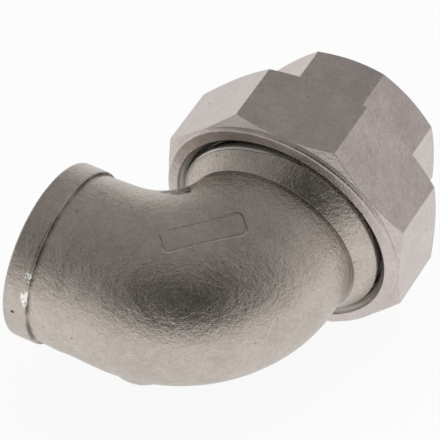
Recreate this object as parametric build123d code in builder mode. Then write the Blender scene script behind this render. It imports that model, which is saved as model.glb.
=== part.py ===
from build123d import *
from math import cos, radians, sin, sqrt, tan
import os

# Union elbow for 3/4 inch pipe, cast in stainless steel, with two female ends.
# The mouth opens along -X and the union end along +Y, and Z is square to both.
# The origin is on the mouth's axis, where the mouth's thread starts.
# All sizes are in millimetres.

# Pipe thread in both female ends, bored to the thread's outer diameter
pipe_thread_d = 26.44
pipe_thread_len = 12.8
lead_in = 0.7
waterway_step = 1.02
drill_point = 118

# Elbow casting: mouth, band, tube and bend
mouth_reach = 33.0
band_step = 0.6
band_w = 4.75
band_round = 0.45
tube_wall = 2.63
tube_taper = 0.2
throat_r = 8.0
heel_offset = 9.1
waterway_bend_r = 18.0
bend_sections = 9

# Elbow casting: end of the bend, ridge, flared collar and turned thread blank
branch_step = 0.25
ridge_y = 19.6
ridge_step = 0.5
collar_step = 0.3
collar_flare_len = 3.4
collar_len = 0.5
shoulder_step = 0.1
shoulder_len = 1.1
union_thread_rise = 3.4
union_pitch = 1.5
union_thread_len = 6.8

# Stub of the casting's gate, ground to a low dome on the heel
gate_dome_r = 7.5
gate_proud = 0.65
gate_turn = 23.5
gate_drop = 42

# Flat gasket
gasket_t = 1.8
gasket_inset = 0.4

# Tailpiece
tail_flange_t = 3.2
tail_flange_gap = 0.25
tail_neck_gap = 0.45
tail_wall = 2.58
tail_turn = -3
tail_out = 13.35
tail_corner_cut = 2.2

# Octagonal union nut
nut_wall = 2.55
nut_height = 16.1
nut_lip_t = 2.6
nut_lip_overlap = 1.1
nut_boss_len = 1.1
nut_boss_inset = 0.15
nut_boss_round = 0.6
nut_face_dish = 0.3
nut_mouth_gap = 0.95
nut_mouth_depth = 1.3
nut_mouth_edge = 0.3
nut_corner_cut = 3.4

# Form of the octagons and of the union thread
octagon_sides = 8
chamfer_angle = 30
thread_depth_in_pitches = 0.6134
union_play = 0.05

# How far a cut runs past the face that it opens
cut_past = 0.5

# Widths and a depth that follow the pipe thread, so that every wall keeps its thickness
waterway_d = pipe_thread_d - 2 * waterway_step
tube_d = pipe_thread_d + 2 * tube_wall
tube_mouth_d = tube_d - 2 * tube_taper
band_d = tube_mouth_d + 2 * band_step
branch_d = tube_d + 2 * branch_step
union_thread_d = branch_d + 2 * union_thread_rise
collar_d = union_thread_d - 2 * collar_step
tail_af = pipe_thread_d + 2 * tail_wall
nut_mouth_d = union_thread_d + 2 * nut_mouth_gap
nut_af = nut_mouth_d + 2 * nut_wall
drill_cone_len = waterway_step / tan(radians(drill_point / 2))

# Thread depths: how far the thread's root lies from its crest
union_depth = thread_depth_in_pitches * union_pitch
thread_core_r = union_thread_d / 2 - union_depth
nut_root_r = union_thread_d / 2 + union_play
nut_crest_r = nut_root_r - union_depth

# Stations along the union axis
thread_start_y = ridge_y + collar_flare_len + collar_len + shoulder_len
seat_y = thread_start_y + union_thread_len
tail_face_y = seat_y + gasket_t
flange_back_y = tail_face_y + tail_flange_t
nut_far_y = flange_back_y + nut_lip_t
nut_near_y = nut_far_y - nut_height
tail_end_y = nut_far_y + tail_out

# Bend: its sections fan out from the throat's centre, and its heel is a rounder arc
axis_x = mouth_reach - lead_in
bend_r = throat_r + tube_d / 2
bend_x = axis_x - bend_r
heel_r = throat_r + tube_d - heel_offset

# Planes and axes of the union side
union_axis = Axis((axis_x, 0, 0), (0, 1, 0))
axial = Plane(origin=(axis_x, 0, 0))


def across(y):
    """Plane square to the union axis, facing the tailpiece's end."""
    return Plane(origin=(axis_x, y, 0), x_dir=(1, 0, 0), z_dir=(0, 1, 0))


def fullness(turn):
    """Half of what the bend's section is wider than round, none at its ends."""
    side = bend_r + tube_d / 2
    part_turn = radians(min(turn, 90 - turn))
    if side * tan(part_turn) < heel_offset:
        reach = side / cos(part_turn)
    else:
        lead = heel_offset * (sin(part_turn) + cos(part_turn))
        reach = lead + sqrt(lead ** 2 + heel_r ** 2 - 2 * heel_offset ** 2)
    return (reach - side) / 2


def bend_radius(turn):
    """Radius of the bend's section out of the bend's plane."""
    return tube_d / 2 + (branch_d - tube_d) / 2 * turn / 90


def bend_plane(turn):
    """Section plane of the bend, its local x pointing to the heel and y down."""
    out = Vector(sin(radians(turn)), -cos(radians(turn)), 0)
    along = Vector(cos(radians(turn)), sin(radians(turn)), 0)
    centre = Vector(bend_x, bend_r, 0) + out * (bend_r + fullness(turn))
    return Plane(origin=centre, x_dir=out, z_dir=along)


def octagon_blank(y, length, across_flats, turn, near_r, corner_cut):
    """Octagon prism with its corners turned to a cone at both ends."""
    half_turn = 180 / octagon_sides
    corner_r = across_flats / 2 / cos(radians(half_turn))
    end_r = corner_r - corner_cut
    rim_r = corner_r + corner_cut
    lead = (rim_r - near_r) * tan(radians(chamfer_angle))
    drop = (rim_r - end_r) * tan(radians(chamfer_angle))
    with BuildPart() as blank:
        with BuildSketch(across(y)):
            RegularPolygon(across_flats / 2, octagon_sides, major_radius=False, rotation=half_turn + turn)
        extrude(amount=length)
        with BuildSketch(axial):
            with BuildLine():
                Polyline(
                    (0, y),
                    (near_r, y),
                    (rim_r, y + lead),
                    (rim_r, y + length - drop),
                    (end_r, y + length),
                    (0, y + length),
                    close=True,
                )
            make_face()
        revolve(axis=union_axis, mode=Mode.INTERSECT)
    return blank.part


# Elbow casting: the mouth's band and tube, the full bend, then the flared collar
with BuildPart() as elbow_body:
    with BuildSketch(Plane.XY) as tube_profile:
        with BuildLine():
            Polyline(
                (-lead_in, 0),
                (-lead_in, band_d / 2),
                (band_w - lead_in, band_d / 2),
                (band_w - lead_in, tube_mouth_d / 2),
                (bend_x, tube_d / 2),
                (bend_x, 0),
                close=True,
            )
        make_face()
        fillet(tube_profile.vertices().group_by(Axis.Y)[-1], band_round)
    revolve(axis=Axis.X)

    for step in range(bend_sections):
        turn = 90 * step / (bend_sections - 1)
        with BuildSketch(bend_plane(turn)):
            Ellipse(bend_radius(turn) + fullness(turn), bend_radius(turn))
    loft()

    with BuildSketch(axial) as collar_profile:
        ridge_r = branch_d / 2 + ridge_step
        flare_end_y = ridge_y + collar_flare_len
        cast_end_y = flare_end_y + collar_len
        shoulder_r = collar_d / 2 - shoulder_step
        with BuildLine():
            Polyline(
                (0, ridge_y),
                (ridge_r, ridge_y),
                (collar_d / 2, flare_end_y),
                (collar_d / 2, cast_end_y),
                (shoulder_r, cast_end_y),
                (shoulder_r, thread_start_y - (shoulder_r - thread_core_r)),
                (thread_core_r, thread_start_y),
                (thread_core_r, seat_y - union_depth),
                (thread_core_r - union_depth, seat_y),
                (0, seat_y),
                close=True,
            )
        make_face()
        ridge_corner = collar_profile.vertices().sort_by_distance((axis_x + ridge_r, ridge_y, 0))[0]
        fillet(ridge_corner, ridge_step / 2)
    revolve(axis=union_axis)

    heel = bend_plane(gate_turn)
    gate_out = heel.x_dir * cos(radians(gate_drop)) + heel.y_dir * sin(radians(gate_drop))
    gate_skin_r = bend_radius(gate_turn) + fullness(gate_turn) * cos(radians(gate_drop)) ** 2
    with Locations(heel.origin + gate_out * (gate_skin_r + gate_proud - gate_dome_r)):
        Sphere(gate_dome_r)

    # Waterway: straight from the mouth, round the bend and out at the seat
    with BuildLine():
        Line((0, 0), (axis_x - waterway_bend_r, 0))
        RadiusArc((axis_x - waterway_bend_r, 0), (axis_x, waterway_bend_r), -waterway_bend_r)
        Line((axis_x, waterway_bend_r), (axis_x, seat_y + cut_past))
    with BuildSketch(Plane.YZ):
        Circle(waterway_d / 2)
    sweep(mode=Mode.SUBTRACT)

    # Mouth bore: lead-in, thread and the drill's cone behind it
    with BuildSketch(Plane.XY):
        bore_r = pipe_thread_d / 2
        with BuildLine():
            Polyline(
                (-lead_in, 0),
                (-lead_in, bore_r + lead_in),
                (0, bore_r),
                (pipe_thread_len, bore_r),
                (pipe_thread_len + drill_cone_len, waterway_d / 2),
                (pipe_thread_len + drill_cone_len, 0),
                close=True,
            )
        make_face()
    revolve(axis=Axis.X, mode=Mode.SUBTRACT)
elbow_body.part.label = "elbow_body"

# Gasket, clamped between the elbow's seat and the tailpiece's flange
with BuildPart() as seal_ring:
    with BuildSketch(across(seat_y)):
        Circle(thread_core_r - union_depth + gasket_inset)
        Circle(waterway_d / 2 + gasket_inset, mode=Mode.SUBTRACT)
    extrude(amount=gasket_t)
seal_ring.part.label = "seal_ring"

# Tailpiece: flange inside the nut, round neck through its lip, octagon outside
flange_r = nut_crest_r - tail_flange_gap
lip_r = flange_r - nut_lip_overlap
neck_r = lip_r - tail_neck_gap
octagon_y = nut_far_y + tail_neck_gap
tail_octagon = octagon_blank(
    octagon_y, tail_end_y - octagon_y, tail_af, tail_turn, neck_r, tail_corner_cut)
with BuildPart() as tailpiece:
    add(tail_octagon)
    with BuildSketch(axial):
        with BuildLine():
            Polyline(
                (0, tail_face_y),
                (flange_r, tail_face_y),
                (flange_r, flange_back_y),
                (neck_r, flange_back_y),
                (neck_r, octagon_y),
                (0, octagon_y),
                close=True,
            )
        make_face()
    revolve(axis=union_axis)
    with BuildSketch(axial):
        bore_r = pipe_thread_d / 2
        thread_end_y = tail_end_y - lead_in - pipe_thread_len
        with BuildLine():
            Polyline(
                (0, tail_face_y),
                (waterway_d / 2, tail_face_y),
                (waterway_d / 2, thread_end_y - drill_cone_len),
                (bore_r, thread_end_y),
                (bore_r, tail_end_y - lead_in),
                (bore_r + lead_in, tail_end_y),
                (0, tail_end_y),
                close=True,
            )
        make_face()
    revolve(axis=union_axis, mode=Mode.SUBTRACT)
tailpiece.part.label = "tailpiece"

# Union nut: octagon with a turned far end, round boss in front, threaded bore and lip
nut_octagon_y = nut_near_y + nut_boss_len
boss_r = nut_af / 2 - nut_boss_inset
nut_octagon = octagon_blank(nut_octagon_y, nut_far_y - nut_octagon_y, nut_af, 0, boss_r, nut_corner_cut)
with BuildPart() as union_nut:
    add(nut_octagon)
    with BuildSketch(axial) as boss_profile:
        with BuildLine():
            Polyline(
                (0, nut_near_y),
                (nut_mouth_d / 2 + nut_mouth_edge, nut_near_y),
                (boss_r, nut_near_y + nut_face_dish),
                (boss_r, nut_octagon_y),
                (0, nut_octagon_y),
                close=True,
            )
        make_face()
        boss_corner = boss_profile.vertices().sort_by_distance(
            (axis_x + boss_r, nut_near_y + nut_face_dish, 0))[0]
        fillet(boss_corner, nut_boss_round)
    revolve(axis=union_axis)
    with BuildSketch(axial):
        mouth_r = nut_mouth_d / 2
        mouth_end_y = nut_near_y + nut_mouth_depth
        with BuildLine():
            Polyline(
                (0, nut_near_y),
                (mouth_r + nut_mouth_edge, nut_near_y),
                (mouth_r, nut_near_y + nut_mouth_edge),
                (mouth_r, mouth_end_y - (mouth_r - nut_root_r)),
                (nut_root_r, mouth_end_y),
                (nut_root_r, flange_back_y),
                (lip_r, flange_back_y),
                (lip_r, nut_far_y),
                (0, nut_far_y),
                close=True,
            )
        make_face()
    revolve(axis=union_axis, mode=Mode.SUBTRACT)
union_nut.part.label = "union_nut"

os.makedirs("parts", exist_ok=True)
export_step(elbow_body.part, "parts/elbow_body.step")
export_step(seal_ring.part, "parts/seal_ring.step")
export_step(tailpiece.part, "parts/tailpiece.step")
export_step(union_nut.part, "parts/union_nut.step")
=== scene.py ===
import bpy
from math import cos, pi, radians, sin
from mathutils import Matrix, Vector


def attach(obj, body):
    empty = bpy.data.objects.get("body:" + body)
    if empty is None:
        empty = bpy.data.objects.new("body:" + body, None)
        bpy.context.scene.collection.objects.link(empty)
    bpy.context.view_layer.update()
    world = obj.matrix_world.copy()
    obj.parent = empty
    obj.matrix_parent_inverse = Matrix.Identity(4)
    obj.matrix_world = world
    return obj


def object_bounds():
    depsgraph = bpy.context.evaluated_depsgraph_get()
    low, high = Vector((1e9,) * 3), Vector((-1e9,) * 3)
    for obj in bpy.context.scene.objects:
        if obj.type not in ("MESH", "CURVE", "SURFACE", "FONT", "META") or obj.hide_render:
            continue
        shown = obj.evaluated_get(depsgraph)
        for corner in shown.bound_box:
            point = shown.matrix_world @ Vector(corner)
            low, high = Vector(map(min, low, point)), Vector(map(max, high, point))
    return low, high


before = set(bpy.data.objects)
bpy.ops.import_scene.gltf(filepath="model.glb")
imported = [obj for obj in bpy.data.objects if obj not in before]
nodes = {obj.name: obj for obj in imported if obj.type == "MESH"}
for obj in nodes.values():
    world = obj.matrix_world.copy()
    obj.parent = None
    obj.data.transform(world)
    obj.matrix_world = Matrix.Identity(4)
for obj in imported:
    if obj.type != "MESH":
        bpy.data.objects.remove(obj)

# Elbow casting. One investment casting in stainless steel, blasted to a satin
# grey. Its mouth, its union thread and the rim of its collar are turned on a
# lathe after casting, so they are brighter than the cast skin.
cad_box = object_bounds()
axis_x = 0.0323


class Wire:
    """A socket of a finish's node tree, on which sums are written as they are said."""

    def __init__(self, tree, socket=None):
        self.tree = tree
        self.socket = socket

    def node(self, kind, links, out=0, stops=None, **settings):
        made = self.tree.nodes.new(kind)
        for name, value in settings.items():
            setattr(made, name, value)
        if stops:
            ramp = made.color_ramp
            while len(ramp.elements) < len(stops):
                ramp.elements.new(1.0)
            for element, (place, colour) in zip(ramp.elements, stops):
                element.position = place
                element.color = colour
        for name, value in links.items():
            if isinstance(value, Wire):
                self.tree.links.new(value.socket, made.inputs[name])
            else:
                made.inputs[name].default_value = value
        return Wire(self.tree, made.outputs[out]) if made.outputs else None

    def sum(self, operation, first, second=0.0):
        return self.node("ShaderNodeMath", {0: first, 1: second}, operation=operation)

    def __add__(self, other):
        return self.sum("ADD", self, other)

    __radd__ = __add__

    def __sub__(self, other):
        return self.sum("SUBTRACT", self, other)

    def __rsub__(self, other):
        return self.sum("SUBTRACT", other, self)

    def __mul__(self, other):
        return self.sum("MULTIPLY", self, other)

    __rmul__ = __mul__

    def __pow__(self, other):
        return self.sum("POWER", self, other)

    def root(self):
        return self.sum("SQRT", self)

    def size(self):
        return self.sum("ABSOLUTE", self)

    def least(self, other):
        return self.sum("MINIMUM", self, other)

    def most(self, other):
        return self.sum("MAXIMUM", self, other)

    def rise(self, low, high):
        """0 below low and 1 above high, with a soft change between them."""
        return self.node("ShaderNodeMapRange", {"Value": self, "From Min": low, "From Max": high},
                         interpolation_type="SMOOTHSTEP")

    def fall(self, low, high):
        """1 below low and 0 above high."""
        return self.node("ShaderNodeMapRange", {"Value": self, "From Min": low, "From Max": high,
                                                "To Min": 1.0, "To Max": 0.0},
                         interpolation_type="SMOOTHSTEP")

    def tint(self, below, above):
        """A colour between two, with this socket as the share of the second."""
        return self.node("ShaderNodeMix", {0: self, 6: below, 7: above}, out=2, data_type="RGBA")


def new_finish(name):
    """A new material with its tree as a wire, its shader and the point on the piece."""
    finish = bpy.data.materials.new(name)
    finish.use_nodes = True
    wires = Wire(finish.node_tree)
    place = wires.node("ShaderNodeTexCoord", {}, out="Object")
    return finish, wires, place


def grain(place, per_metre, detail=2.0, roughness=0.5, distortion=0.0):
    """Even noise between about 0.25 and 0.75, with so many grains to the metre."""
    return place.node("ShaderNodeTexNoise", {"Vector": place, "Scale": per_metre, "Detail": detail,
                                             "Roughness": roughness, "Distortion": distortion})


def blasted_skin(place, coarse, dark, light):
    """Colour, roughness and height of the blasted cast skin, all three on one pattern."""
    dust = grain(place, 4600, 1.0)
    shot = grain(place, 2000, 2.0, 0.6, 0.6)
    skin = grain(place, 750, 3.0, 0.6, 0.4)
    cloud = grain(place, 160, 3.0, 0.55)
    pit_reach = place.node("ShaderNodeTexVoronoi", {"Vector": place, "Scale": 330, "Randomness": 1.0})
    pits = pit_reach.fall(0.05, 0.12) * cloud.rise(0.5, 0.6)
    tone = ((cloud - 0.5) * 0.5 + (skin - 0.5) * 0.45 + (shot - 0.5) * 0.55 + (dust - 0.5) * 0.3 + 0.5
            - pits * 0.4)
    colour = tone.tint(dark, light)
    roughness = 0.25 + (skin + cloud) * 0.10 + pits * 0.2
    height = (dust * 0.000030 * coarse + shot * 0.000085 * coarse + skin * 0.00011 * coarse
              + cloud * 0.00022 - pits * 0.00006)
    return colour, roughness, height


def skin_cloud(place):
    """Wide soft patches over a casting."""
    return grain(place, 230, 2.0, 0.5)


def turned_face(place, along, pitch):
    """Colour, roughness and height of a turned face, its tool marks following a length."""
    wires = along.node("ShaderNodeTexNoise", {"W": along, "Scale": 1.0 / pitch, "Detail": 2.0},
                       noise_dimensions="1D")
    smear = grain(place, 500, 2.0)
    tone = wires * 0.8 + smear * 0.3 - 0.05
    colour = tone.tint((0.47, 0.45, 0.43, 1.0), (0.72, 0.70, 0.675, 1.0))
    roughness = 0.26 + smear * 0.12
    height = wires * 0.000012
    return colour, roughness, height


def blend_finish(mask, under, over):
    """The three wires of a finish, changing from one to another with a mask."""
    return (mask.tint(under[0], over[0]),
            under[1] * (1.0 - mask) + over[1] * mask,
            under[2] * (1.0 - mask) + over[2] * mask)


# how far sharp edges are worn round, and the dark colour of the throat scar, which is also painted into
# corners as shade
edge_round = 0.00025
dirt_and_painted_shade = (0.085, 0.078, 0.072, 1.0)


def dress(finish, wires, colour, roughness, height, metal=1.0):
    """Puts the three wires on the finish's shader, with the sharp edges worn round."""
    shader = finish.node_tree.nodes["Principled BSDF"]
    shader.inputs["Metallic"].default_value = metal
    worn_edge = wires.node("ShaderNodeBevel", {"Radius": edge_round}, samples=6)
    normal = wires.node("ShaderNodeBump", {"Height": height, "Distance": 1.0, "Normal": worn_edge})
    finish.node_tree.links.new(colour.socket, shader.inputs["Base Color"])
    finish.node_tree.links.new(roughness.socket, shader.inputs["Roughness"])
    finish.node_tree.links.new(normal.socket, shader.inputs["Normal"])


def parts_of(place):
    """The three lengths of a point on the piece."""
    split = place.tree.nodes.new("ShaderNodeSeparateXYZ")
    place.tree.links.new(place.socket, split.inputs[0])
    return [Wire(place.tree, socket) for socket in split.outputs]


def spot(place, centre, radius, soft):
    """1 in a ball round a point, 0 outside it."""
    reach = place.node("ShaderNodeVectorMath", {0: place, 1: centre}, out="Value", operation="DISTANCE")
    return reach.fall(radius, radius + soft)


cast_steel, wires, place = new_finish("cast_steel")
x, y, z = parts_of(place)
skin = blasted_skin(place, 1.0, (0.33, 0.292, 0.260, 1.0), (0.78, 0.707, 0.640, 1.0))
off_axis = ((x - axis_x) ** 2.0 + z ** 2.0).root()
off_mouth = (y ** 2.0 + z ** 2.0).root()

# the collar's turned rim runs out on one side, because the casting sat out of true on the lathe
rim_edge_y = 0.0226 + (x - axis_x + 0.004).most(0.0) * 0.105
rim = (y - rim_edge_y).rise(-0.00004, 0.00004)
seat = rim.most(off_axis.fall(0.0128, 0.0130) * y.rise(0.0300, 0.0302))
mouth_end = x.fall(-0.00055, -0.00045) * off_mouth.fall(0.0156, 0.0158)
mouth_bore = x.fall(0.0132, 0.0134) * off_mouth.fall(0.0140, 0.0142)
turned = seat.most(mouth_end).most(mouth_bore)
lathe = turned_face(place, y + x * 0.7, 0.00022)
colour, roughness, height = blend_finish(turned, skin, lathe)

# bare marking panel on top of the bend, a raised frame round a sunk field
panel_x, panel_y = 0.0276, 0.0045
eighth_turn = 0.70711
straight_half_length, straight_half_width = 0.0063, 0.0012
lengthwise = ((x - panel_x) + (y - panel_y)) * eighth_turn
crosswise = ((y - panel_y) - (x - panel_x)) * eighth_turn
side_a = (lengthwise.size() - straight_half_length).most(0.0)
side_b = (crosswise.size() - straight_half_width).most(0.0)
panel_edge = (side_a ** 2.0 + side_b ** 2.0).root()
on_top = z.rise(0.010, 0.011)
field = panel_edge.fall(0.00078, 0.00092) * on_top
frame_line = (panel_edge - 0.00100).size().fall(0.00006, 0.00030) * on_top
height = height - field * 0.00012 + frame_line * 0.00024

# rough dark scar in the throat, and a small sunk pin hole where it meets the collar; the pin hole's dark
# colour is painted shade for that corner
scar = spot(place, (0.0160, 0.0127, 0.0116), 0.0008, 0.0012)
scar = scar.most(spot(place, (0.0180, 0.0132, 0.0121), 0.0013, 0.0013))
scar_grain = grain(place, 700, 3.0, 0.7)
shaded_pin_hole = spot(place, (0.01992, 0.0132, 0.01319), 0.0003, 0.0004)
dark = (scar * scar_grain.rise(0.15, 0.45) * 0.72).most(shaded_pin_hole)

# painted shade: the skin is darkened in the corner behind the band and under the ridge's step, where
# shade falls
shade_behind_band = x.rise(0.00386, 0.00392) * x.fall(0.0041, 0.0048) * skin_cloud(place).rise(0.35, 0.6)
shade_under_ridge = y.rise(0.0188, 0.0195) * y.fall(0.0196, 0.0197)
dark = dark.most(shade_behind_band * 0.55).most(shade_under_ridge * 0.3)
# the scar keeps its own dark colour; behind the band, under the ridge and in the pin hole the same
# colour is painted shade
colour = dark.tint(colour, dirt_and_painted_shade)
height = height + scar * scar_grain * 0.0004 - shaded_pin_hole * 0.0005

# two fresh nicks on the band's inner edge, and a dark pit below them
nick_grain = grain(place, 1300, 2.0)
long_nick = z.rise(0.0034, 0.0042) * z.fall(0.0062, 0.0070)
short_nick = z.rise(0.0082, 0.0086) * z.fall(0.0094, 0.0099)
nick = (long_nick.most(short_nick) * x.rise(0.0026, 0.0031) * x.fall(0.0040, 0.0041)
        * y.fall(-0.0125, -0.012) * nick_grain.rise(0.42, 0.5))
colour = nick.tint(colour, (0.97, 0.96, 0.94, 1.0))
roughness = roughness * (1.0 - nick) + nick * 0.22
pit = spot(place, (0.00141, -0.01617, 0.00148), 0.00018, 0.0003)
colour = pit.tint(colour, (0.06, 0.055, 0.05, 1.0))

dress(cast_steel, wires, colour, roughness, height)
nodes["elbow_body"].data.materials.clear()
nodes["elbow_body"].data.materials.append(cast_steel)

# Gasket. A flat ring cut from white fluoropolymer sheet, slightly waxy. It
# lies loose on the elbow's seat and is clamped when the nut is tightened.
gasket_white, wires, place = new_finish("gasket_white")
sheet_grain = grain(place, 1500, 3.0)
sheet_cloud = grain(place, 160, 2.0)
colour = (sheet_grain * 0.5 + sheet_cloud * 0.5).tint((0.74, 0.74, 0.71, 1.0), (0.88, 0.88, 0.86, 1.0))
dress(gasket_white, wires, colour, 0.38 + sheet_grain * 0.2, sheet_grain * 0.000012, metal=0.0)
nodes["seal_ring"].data.materials.clear()
nodes["seal_ring"].data.materials.append(gasket_white)

# Tailpiece. A stainless casting with an octagon for the spanner, turned at
# its flange, its neck and its outer end, and bored for the pipe's thread.
spanner_dark, spanner_light = (0.40, 0.357, 0.340, 1.0), (0.84, 0.752, 0.722, 1.0)
cone_slope = 1.7321
tail_steel, wires, place = new_finish("tail_steel")
x, y, z = parts_of(place)
skin = blasted_skin(place, 0.6, spanner_dark, spanner_light)
off_axis = ((x - axis_x) ** 2.0 + z ** 2.0).root()
# the outer end is turned to a cone that cuts the octagon's corners
tail_end_y = 0.05235
tail_end_r = 0.0149
cone = (off_axis - (tail_end_r + (tail_end_y - y) * cone_slope)).rise(-0.00030, -0.00022)
end_face = y.rise(tail_end_y - 0.0001, tail_end_y - 0.00005)
bore = off_axis.fall(0.0140, 0.0142)
inside = y.fall(0.0392, 0.0394)
lathe = turned_face(place, off_axis + y, 0.00025)
colour, roughness, height = blend_finish(cone.most(end_face).most(bore).most(inside), skin, lathe)
dress(tail_steel, wires, colour, roughness, height)
nodes["tailpiece"].data.materials.clear()
nodes["tailpiece"].data.materials.append(tail_steel)

# Union nut. A cast octagon with a round boss towards the elbow. Its far end
# is turned to a cone, and its bore and thread are turned too.
nut_steel, wires, place = new_finish("nut_steel")
x, y, z = parts_of(place)
skin = blasted_skin(place, 0.6, spanner_dark, spanner_light)
off_axis = ((x - axis_x) ** 2.0 + z ** 2.0).root()
nut_width = 0.046
nut_far_y = 0.0390
nut_corner_cut = 0.0034
nut_end_r = nut_width / 2 / cos(pi / 8) - nut_corner_cut
cone = (off_axis - (nut_end_r + (nut_far_y - y) * cone_slope)).rise(-0.00030, -0.00022)
far_face = y.rise(nut_far_y - 0.0001, nut_far_y - 0.00005)
bore = off_axis.fall(0.02055, 0.02062)
lathe = turned_face(place, off_axis + y, 0.00025)
colour, roughness, height = blend_finish(cone.most(far_face).most(bore), skin, lathe)
dress(nut_steel, wires, colour, roughness, height)
nodes["union_nut"].data.materials.clear()
nodes["union_nut"].data.materials.append(nut_steel)

# Threads. Pipe thread in both female ends, and the union thread outside the
# elbow's end and inside the nut. Each is one right-hand ridge cut on a lathe,
# which fades out where the tool is drawn back.


def ridge_tree():
    """Geometry nodes that lay one V-shaped ridge along a helix round Z."""
    tree = bpy.data.node_groups.new("thread_ridge", "GeometryNodeTree")
    face = tree.interface
    face.new_socket("Geometry", in_out="OUTPUT", socket_type="NodeSocketGeometry")
    for name, kind in (("Wall radius", "NodeSocketFloat"), ("Pitch", "NodeSocketFloat"),
                       ("Turns", "NodeSocketFloat"), ("Depth", "NodeSocketFloat"),
                       ("Base", "NodeSocketFloat"), ("Crest", "NodeSocketFloat"),
                       ("Sunk", "NodeSocketFloat"), ("Steps", "NodeSocketInt"),
                       ("Finish", "NodeSocketMaterial")):
        face.new_socket(name, in_out="INPUT", socket_type=kind)
    wires = Wire(tree)
    given_node = tree.nodes.new("NodeGroupInput")
    given = {socket.name: Wire(tree, socket) for socket in given_node.outputs if socket.name}

    # the helix, its radius the wall's; reversed it is right-hand, and its
    # sections point away from the axis
    spiral = wires.node("GeometryNodeCurveSpiral", {
        "Resolution": given["Steps"], "Rotations": given["Turns"], "Start Radius": given["Wall radius"],
        "End Radius": given["Wall radius"], "Height": given["Turns"] * given["Pitch"], "Reverse": True})
    level = wires.node("GeometryNodeSetCurveNormal", {"Curve": spiral}, mode="Z_UP")

    # the ridge's section: two points sunk in the wall, two on the crest
    deep = given["Sunk"] * -1.0
    points = []
    for off, side in ((deep, given["Base"] * -0.5), (given["Depth"], given["Crest"] * -0.5),
                      (given["Depth"], given["Crest"] * 0.5), (deep, given["Base"] * 0.5)):
        points.append(wires.node("ShaderNodeCombineXYZ", {0: off, 1: side, 2: 0.0}))
    section = wires.node("GeometryNodeCurvePrimitiveQuadrilateral", {
        "Point 1": points[0], "Point 2": points[1], "Point 3": points[2], "Point 4": points[3]},
        mode="POINTS")

    # the ridge fades out over a third of a turn at each end
    along = wires.node("GeometryNodeSplineParameter", {}, out="Factor")
    turns_in = along * given["Turns"]
    turns_left = (1.0 - along) * given["Turns"]
    fade = (turns_in.least(turns_left) * 3.0).least(1.0).most(0.02)
    body = wires.node("GeometryNodeCurveToMesh", {"Curve": level, "Profile Curve": section,
                                                  "Fill Caps": True, "Scale": fade})
    whole = wires.node("GeometryNodeRealizeInstances", {"Geometry": body})
    dressed = wires.node("GeometryNodeSetMaterial", {"Geometry": whole, "Material": given["Finish"]})
    result = tree.nodes.new("NodeGroupOutput")
    tree.links.new(dressed.socket, result.inputs[0])
    return tree


thread_tree = ridge_tree()
steps_per_turn = 72


def thread_ridge(name, body, finish, start, along, wall_r, pitch, turns, depth, base, crest, sunk):
    """One thread's ridge as a piece. Inside a bore its depth is below 0, towards the axis."""
    blank = bpy.data.objects.new(name + "_blank", bpy.data.meshes.new(name + "_blank"))
    bpy.context.scene.collection.objects.link(blank)
    cutter = blank.modifiers.new("ridge", "NODES")
    cutter.node_group = thread_tree
    given = {"Wall radius": wall_r, "Pitch": pitch, "Turns": turns, "Depth": depth, "Base": base,
             "Crest": crest, "Sunk": sunk, "Steps": steps_per_turn, "Finish": finish}
    for item in thread_tree.interface.items_tree:
        if item.in_out == "INPUT":
            cutter[item.identifier] = given[item.name]
    bpy.context.view_layer.update()
    made = blank.evaluated_get(bpy.context.evaluated_depsgraph_get())
    mesh = bpy.data.meshes.new_from_object(made)
    bpy.data.objects.remove(blank)
    piece = bpy.data.objects.new(name, mesh)
    bpy.context.scene.collection.objects.link(piece)
    turn = Vector((0, 0, 1)).rotation_difference(Vector(along)).to_matrix().to_4x4()
    mesh.transform(Matrix.Translation(Vector(start)) @ turn)
    if depth < 0:
        mesh.flip_normals()
    for face in mesh.polygons:
        face.use_smooth = False
    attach(piece, body)


thread_steel, wires, place = new_finish("thread_steel")
x, y, z = parts_of(place)
colour, roughness, height = turned_face(place, y + x * 0.7, 0.0002)
dress(thread_steel, wires, colour, roughness, height)

# how deep each ridge's foot sits in its wall, so that no gap shows under it
foot = 0.0001
pipe_wall_r, pipe_pitch, pipe_depth = 0.01322, 0.001814, 0.00116
pipe_turns, pipe_base, pipe_crest = 6.6, 0.00168, 0.0003
thread_ridge("mouth_pipe_thread", "elbow", thread_steel, (0.0124, 0, 0), (-1, 0, 0),
             pipe_wall_r, pipe_pitch, pipe_turns, -pipe_depth, pipe_base, pipe_crest, -foot)
thread_ridge("tail_pipe_thread", "tail", thread_steel, (axis_x, 0.0393, 0), (0, 1, 0),
             pipe_wall_r, pipe_pitch, pipe_turns, -pipe_depth, pipe_base, pipe_crest, -foot)

# the nut's ridge starts half a pitch further on, so that it lies between the elbow's
union_pitch, union_depth, union_base, union_crest = 0.0015, 0.00085, 0.00122, 0.00019
union_start_y = 0.0252
core_r, nut_root_r = 0.01858, 0.01955
thread_ridge("union_thread_outside", "elbow", thread_steel,
             (axis_x, union_start_y, 0), (0, 1, 0),
             core_r, union_pitch, 3.7, union_depth, union_base, union_crest, foot)
thread_ridge("union_thread_inside", "nut", thread_steel,
             (axis_x, union_start_y + union_pitch / 2, 0), (0, 1, 0),
             nut_root_r, union_pitch, 5.0, -union_depth, union_base, union_crest, -foot)

# Stage. A pale floor under the nut, in a plain light room with a brighter
# side and a dark patch overhead, which the steel mirrors. The camera looks
# down on the plane of the elbow, as in the photograph.
floor_z = cad_box[0][2]
floor_mesh = bpy.data.meshes.new("floor")
reach = 3.0
floor_mesh.from_pydata([(-reach, -reach, floor_z), (reach, -reach, floor_z), (reach, reach, floor_z),
                        (-reach, reach, floor_z)], [], [(0, 1, 2, 3)])
floor = bpy.data.objects.new("floor", floor_mesh)
bpy.context.scene.collection.objects.link(floor)

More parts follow.
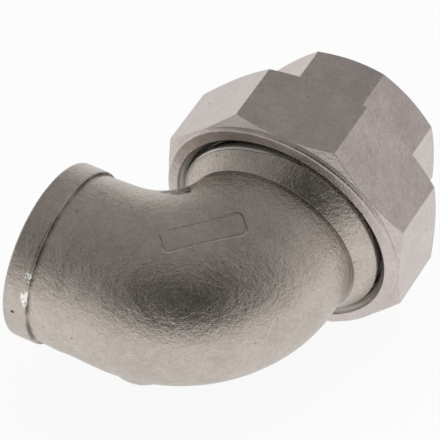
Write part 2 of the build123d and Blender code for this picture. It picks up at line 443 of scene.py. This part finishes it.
floor_pale = bpy.data.materials.new("floor_pale")
floor_pale.use_nodes = True
wires = Wire(floor_pale.node_tree)
for old in list(floor_pale.node_tree.nodes):
    floor_pale.node_tree.nodes.remove(old)
matt = wires.node("ShaderNodeBsdfDiffuse", {"Color": (0.86, 0.86, 0.86, 1.0)})
white = wires.node("ShaderNodeEmission", {"Color": (1.0, 1.0, 1.0, 1.0), "Strength": 1.0})
seen = wires.node("ShaderNodeLightPath", {}, out="Is Camera Ray")
glossed = wires.node("ShaderNodeLightPath", {}, out="Is Glossy Ray")
share = seen * 0.92 + glossed * 0.90
mixed = wires.node("ShaderNodeMixShader", {0: share, 1: matt, 2: white})
wires.node("ShaderNodeOutputMaterial", {"Surface": mixed})
floor_mesh.materials.append(floor_pale)

room = bpy.data.worlds.new("room")
bpy.context.scene.world = room
room.use_nodes = True
for old in list(room.node_tree.nodes):
    room.node_tree.nodes.remove(old)
wires = Wire(room.node_tree)
way = wires.node("ShaderNodeTexCoord", {}, out="Generated")
way_x, way_y, way_z = parts_of(way)
over = way_z.node("ShaderNodeValToRGB", {"Fac": way_z}, stops=[
    (0.0, (0.80, 0.795, 0.785, 1.0)), (0.10, (0.56, 0.555, 0.55, 1.0)), (0.25, (0.42, 0.415, 0.41, 1.0)),
    (0.50, (0.35, 0.345, 0.34, 1.0)), (1.0, (0.32, 0.315, 0.31, 1.0))])
window = wires.node("ShaderNodeVectorMath", {0: way, 1: (0.74, 0.62, 0.26)}, out="Value",
                    operation="DOT_PRODUCT").rise(0.72, 0.98) * 0.55
dark_card = wires.node("ShaderNodeVectorMath", {0: way, 1: (0.354, -0.612, 0.707)}, out="Value",
                       operation="DOT_PRODUCT").rise(0.76, 0.92) * 0.93
dim = dark_card.tint(window.tint(over, (0.75, 0.73, 0.73, 1.0)), (0.03, 0.029, 0.028, 1.0))
seen = wires.node("ShaderNodeLightPath", {}, out="Is Camera Ray")
colour = seen.tint(dim, (1.0, 1.0, 1.0, 1.0))
sky = wires.node("ShaderNodeBackground", {"Color": colour, "Strength": 1.0})
wires.node("ShaderNodeOutputWorld", {"Surface": sky})


def lamp(name, at, towards, wide, watts):
    """A square soft lamp that lights the room but isn't mirrored in the metal."""
    light = bpy.data.lights.new(name, "AREA")
    light.size = wide
    light.energy = watts
    holder = bpy.data.objects.new(name, light)
    bpy.context.scene.collection.objects.link(holder)
    holder.location = at
    holder.rotation_euler = (Vector(towards) - Vector(at)).to_track_quat("-Z", "Y").to_euler()
    holder.visible_glossy = False


middle = (0.026, 0.020, 0.0)
lamp("ceiling_lamp", (0.1, 0.3, 1.0), middle, 0.9, 6.0)

# the photograph's camera, from its place in nut widths round the crossing of the two axes
azimuth, elevation, roll = radians(30.46), radians(49.72), radians(-1.606)
eye_shift_x, eye_shift_y, eye_distance = 0.01686, 0.36947, 11.618
pixels_per_nut_width, photo_width = 268.06, 440.0
back = Vector((sin(azimuth) * cos(elevation), -cos(azimuth) * cos(elevation), sin(elevation)))
right = Vector((cos(azimuth), sin(azimuth), 0.0))
up = back.cross(right)
level = cos(roll) * right + sin(roll) * up
plumb = cos(roll) * up - sin(roll) * right
eye = bpy.data.cameras.new("photo_camera")
eye.sensor_width = 36.0
eye.lens = eye.sensor_width * pixels_per_nut_width * eye_distance / photo_width
eye.clip_start = 0.01
camera = bpy.data.objects.new("photo_camera", eye)
bpy.context.scene.collection.objects.link(camera)
from_crossing = eye_shift_x * level + eye_shift_y * plumb + eye_distance * back
eye_at = Vector((axis_x, 0, 0)) + nut_width * from_crossing
turned_to = Matrix((level, plumb, back)).transposed().to_4x4()
camera.matrix_world = Matrix.Translation(eye_at) @ turned_to
bpy.context.scene.camera = camera
bpy.context.scene.view_settings.view_transform = "Standard"

bpy.context.view_layer.update()
